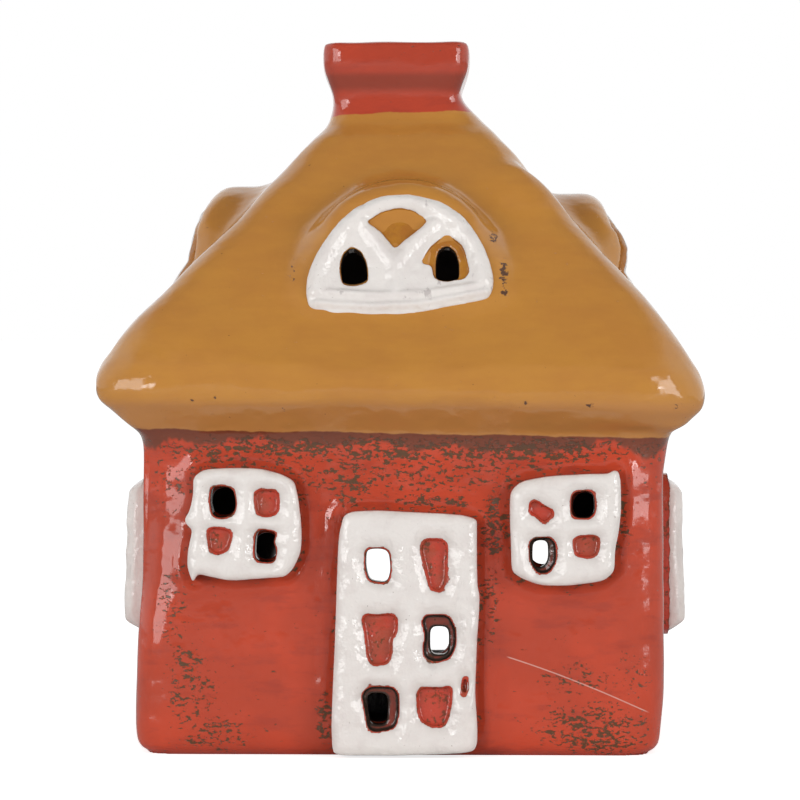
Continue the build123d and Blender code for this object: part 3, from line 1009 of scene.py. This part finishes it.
class Nodes:
    """A geometry node tree with named inputs, which are set on the piece before it is first evaluated."""

    def __init__(self, name, piece, sizes):
        self.piece = piece
        self.tree = bpy.data.node_groups.new(name, "GeometryNodeTree")
        self.tree.interface.new_socket("Geometry", in_out="OUTPUT", socket_type="NodeSocketGeometry")
        self.tree.interface.new_socket("Geometry", in_out="INPUT", socket_type="NodeSocketGeometry")
        for size, value in sizes.items():
            kind = "NodeSocketInt" if isinstance(value, int) else "NodeSocketFloat"
            self.tree.interface.new_socket(size, in_out="INPUT", socket_type=kind)
        self.given = self.tree.nodes.new("NodeGroupInput")
        modifier = piece.modifiers.new(name, "NODES")
        modifier.node_group = self.tree
        for item in self.tree.interface.items_tree:
            if item.in_out == "INPUT" and item.name in sizes:
                modifier[item.identifier] = sizes[item.name]

    def size(self, name):
        return self.given.outputs[name]

    def make(self, kind, inputs=(), settings=()):
        return new_node(self.tree, kind, inputs, settings).outputs[0]

    def close(self, geometry, material):
        """Joins all to a plain mesh with its material, and drops the tree's modifier."""
        realized = self.make("GeometryNodeRealizeInstances", {"Geometry": geometry})
        painted = self.make("GeometryNodeSetMaterial", {"Geometry": realized, "Material": material})
        new_node(self.tree, "NodeGroupOutput", {"Geometry": painted}, {})
        baked(self.piece)


foil, place = new_glaze("pressed_foil")
crinkle = place.noise(900, 4.0, 0.6)
fire(place, (0.90, 0.90, 0.91, 1), 0.50 + crinkle * 0.30, crinkle, 0.7 * mm, {"Metallic": 0.9})

foil_thickness = 0.35 * mm
foot_round = 0.8 * mm
rim_fold = 0.5 * mm
cup_profile = [
    (0, cup_base), (cup_radius - foot_round, cup_base), (cup_radius, cup_base + foot_round),
    (cup_radius, cup_top - rim_fold), (rim_radius - rim_fold / 2, cup_top - rim_fold),
    (rim_radius, cup_top - rim_fold / 2), (rim_radius - 0.2 * mm, cup_top), (cup_radius - 0.2 * mm, cup_top),
    (cup_radius - foil_thickness, cup_top - 0.3 * mm), (cup_radius - foil_thickness, cup_base + foot_round),
    (cup_radius - 1.1 * mm, cup_base + foil_thickness), (0, cup_base + foil_thickness),
]
cup = piece_from("foil_cup", turned_mesh("foil_cup", cup_profile))
pleat_sizes = {"Radius": cup_radius - 0.05 * mm, "Height": 12.4 * mm, "Width": 0.42 * mm}
pleats = Nodes("pleats", cup, {"Pleats": 64, **pleat_sizes})
ring = pleats.make(
    "GeometryNodeMeshCircle", {"Vertices": pleats.size("Pleats"), "Radius": pleats.size("Radius")}
)
placed = pleats.make("GeometryNodeTransform", {"Geometry": ring, "Translation": cup_middle})
pleat = pleats.make(
    "GeometryNodeMeshCylinder",
    {"Vertices": 8, "Radius": pleats.size("Width"), "Depth": pleats.size("Height")},
)
pleated = pleats.make("GeometryNodeInstanceOnPoints", {"Points": placed, "Instance": pleat})
whole_cup = pleats.make("GeometryNodeJoinGeometry", {"Geometry": pleated})
pleats.tree.links.new(pleats.size("Geometry"), whole_cup.node.inputs["Geometry"])
pleats.close(whole_cup, foil)

wax_glaze, place = new_glaze("pressed_wax")
cloudy = place.noise(300, 3.0, 0.5)
wax_colour = cloudy.between(0.35, 0.65).mixed((0.84, 0.82, 0.76, 1), (0.78, 0.75, 0.67, 1))
translucent = {"Subsurface Weight": 0.25, "Subsurface Scale": 3 * mm}
fire(place, wax_colour, 0.42 + cloudy * 0.15, cloudy, 0.3 * mm, translucent)
wax_radius = (wax_high.x - wax_low.x) / 2
well_radius = 3.4 * mm
wax_profile = [
    (well_radius / 3, wax_low.z), (wax_radius - 0.4 * mm, wax_low.z), (wax_radius, wax_low.z + 0.4 * mm),
    (wax_radius, wax_high.z - 0.3 * mm), (wax_radius - 0.5 * mm, wax_high.z),
    (wax_radius - 3 * mm, wax_high.z - 0.1 * mm), (well_radius, wax_high.z - 0.25 * mm),
    (well_radius / 2, wax_high.z - 0.7 * mm), (well_radius / 3, wax_high.z - 0.8 * mm),
]
wax = piece_from("wax_fill", turned_mesh("wax_fill", wax_profile))
wax.data.materials.append(wax_glaze)

cotton, place = new_glaze("waxed_cotton")
fibre = place.noise(2600, 3.0, 0.6)
cotton_colour = fibre.between(0.35, 0.65).mixed((0.78, 0.74, 0.66, 1), (0.62, 0.57, 0.48, 1))
fire(place, cotton_colour, 0.75 + fibre * 0.1, fibre, 0.2 * mm)
wick = piece_from("braided_wick", mesh_from("braided_wick", [], []))
strand_count = 3
braid_sizes = {"Strand Radius": 0.42 * mm, "Lay Radius": 0.44 * mm, "Turns": 5.0, "Height": 18.6 * mm}
braid = Nodes("braid", wick, {"Strands": strand_count, **braid_sizes})
lay_radius = braid.size("Lay Radius")
lay_sizes = {"Rotations": braid.size("Turns"), "Start Radius": lay_radius, "End Radius": lay_radius}
lay = braid.make("GeometryNodeCurveSpiral", {"Resolution": 24, "Height": braid.size("Height"), **lay_sizes})
section = braid.make(
    "GeometryNodeCurvePrimitiveCircle", {"Resolution": 10, "Radius": braid.size("Strand Radius")}
)
strand = braid.make("GeometryNodeCurveToMesh", {"Curve": lay, "Profile Curve": section, "Fill Caps": True})
posts = braid.make("GeometryNodeMeshLine", {"Count": braid.size("Strands"), "Offset": (0, 0, 0)})
index = braid.make("GeometryNodeInputIndex")
angle = braid.make("ShaderNodeMath", {0: index, 1: 2 * math.pi / strand_count}, {"operation": "MULTIPLY"})
turn = braid.make("ShaderNodeCombineXYZ", {"Z": angle})
strands = braid.make(
    "GeometryNodeInstanceOnPoints", {"Points": posts, "Instance": strand, "Rotation": turn}
)
wick_foot = (cup_middle.x, cup_middle.y, wick_low.z)
braid.close(braid.make("GeometryNodeTransform", {"Geometry": strands, "Translation": wick_foot}), cotton)

tinplate, place = new_glaze("stamped_tinplate")
rolled = place.stretched(1, 6, 1).noise(1200, 3.0, 0.5)
fire(place, (0.60, 0.60, 0.60, 1), 0.28 + rolled * 0.15, rolled, 0.1 * mm, {"Metallic": 1.0})
holder_radius = (holder_high.x - holder_low.x) / 2
neck_radius = 1.7 * mm
bore_radius = 0.92 * mm
foot_thickness = 0.3 * mm
holder_profile = [
    (bore_radius, holder_low.z), (holder_radius, holder_low.z),
    (holder_radius, holder_low.z + foot_thickness), (neck_radius + 0.5 * mm, holder_low.z + foot_thickness),
    (neck_radius, holder_low.z + 0.8 * mm), (neck_radius - 0.2 * mm, holder_high.z),
    (bore_radius, holder_high.z),
]
holder = piece_from("wick_foot", turned_mesh("wick_foot", holder_profile, 48))
holder.data.materials.append(tinplate)
for piece, slot, replaced in (
    (cup, "foil", "tealight_cup"),
    (wax, "wax", "tealight_wax"),
    (wick, "wick", "tealight_wick"),
    (holder, "tinplate", "wick_holder"),
):
    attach(piece, "tealight")
    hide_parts(replaced)

# The studio: a pale floor, a white surround, a softbox and a narrow lamp on each side, and a camera in front.
# The surround is white to the camera and in reflections from behind and beside the house, as in a light tent.
floor_half = 40.0
floor_points = np.array([(-1, -1, 0), (1, -1, 0), (1, 1, 0), (-1, 1, 0)]) * floor_half
floor_mesh = mesh_from("studio_floor", floor_points, [(0, 1, 2, 3)])
studio_floor = piece_from("studio_floor", floor_mesh)
paper, place = new_glaze("pale_paper")
rays = place.make("ShaderNodeLightPath", output="Is Camera Ray")
cloth = place.make("ShaderNodeBsdfDiffuse", {"Color": (0.84, 0.84, 0.83, 1)})
glow = place.make("ShaderNodeEmission", {"Color": (1, 1, 1, 1), "Strength": 0.74})
lit = place.make("ShaderNodeAddShader", {0: cloth, 1: glow})
shown = place.make("ShaderNodeMixShader", {0: rays, 1: cloth, 2: lit})
place.make("ShaderNodeOutputMaterial", {"Surface": shown})
floor_mesh.materials.append(paper)

world = bpy.data.worlds.new("studio")
bpy.context.scene.world = world
world.use_nodes = True
world.node_tree.nodes.clear()
sky = Glaze(world.node_tree, None)
camera_ray = sky.make("ShaderNodeLightPath", output="Is Camera Ray")
glossy_ray = sky.make("ShaderNodeLightPath", output="Is Glossy Ray")
clear_ray = sky.make("ShaderNodeLightPath", output="Is Transmission Ray")
direction = sky.make("ShaderNodeTexCoord", output="Generated")
behind = direction.part(1)
upwards = direction.part(2)
tent = (0.22 + behind.between(-0.75, 0.1) * 0.78) * (1 - upwards.between(0.70, 0.92) * 0.85)
seen = sky.math("MAXIMUM", camera_ray, clear_ray)
ambient = 0.38 + behind.between(0.0, 0.7) * 0.20
strength = seen + (1 - seen) * (glossy_ray * tent + (1 - glossy_ray) * ambient)
sky_light = sky.make("ShaderNodeBackground", {"Color": (1, 1, 1, 1), "Strength": strength})
sky.make("ShaderNodeOutputWorld", {"Surface": sky_light})

lamp_target = Vector((0, 0, 0.06))
for name, position, width, height, power in (
    ("left_softbox", (-0.76, -0.82, 0.22), 0.62, 0.62, 5.2),
    ("right_softbox", (0.92, -0.74, 0.26), 0.52, 0.56, 4.8),
    ("left_strip", (-0.42, -0.92, 0.17), 0.12, 0.16, 0.6),
    ("right_strip", (0.62, -0.80, 0.17), 0.10, 0.14, 0.5),
):
    lamp = bpy.data.lights.new(name, "AREA")
    lamp.shape = "RECTANGLE"
    lamp.size = width
    lamp.size_y = height
    lamp.energy = power
    stand = piece_from(name, lamp)
    stand.location = position
    stand.rotation_euler = (lamp_target - Vector(position)).to_track_quat("-Z", "Y").to_euler()

camera_data = bpy.data.cameras.new("camera")
camera_data.sensor_width = 36
camera_data.lens = 166.4
camera_data.clip_start = 0.01
camera = piece_from("camera", camera_data)
camera.location = (20 * mm, -700 * mm, 75 * mm)
aim = Vector((-1.44 * mm, 0, 62.7 * mm))
camera.rotation_euler = (aim - camera.location).to_track_quat("-Z", "Y").to_euler()
bpy.context.scene.camera = camera
bpy.context.scene.view_settings.view_transform = "Standard"
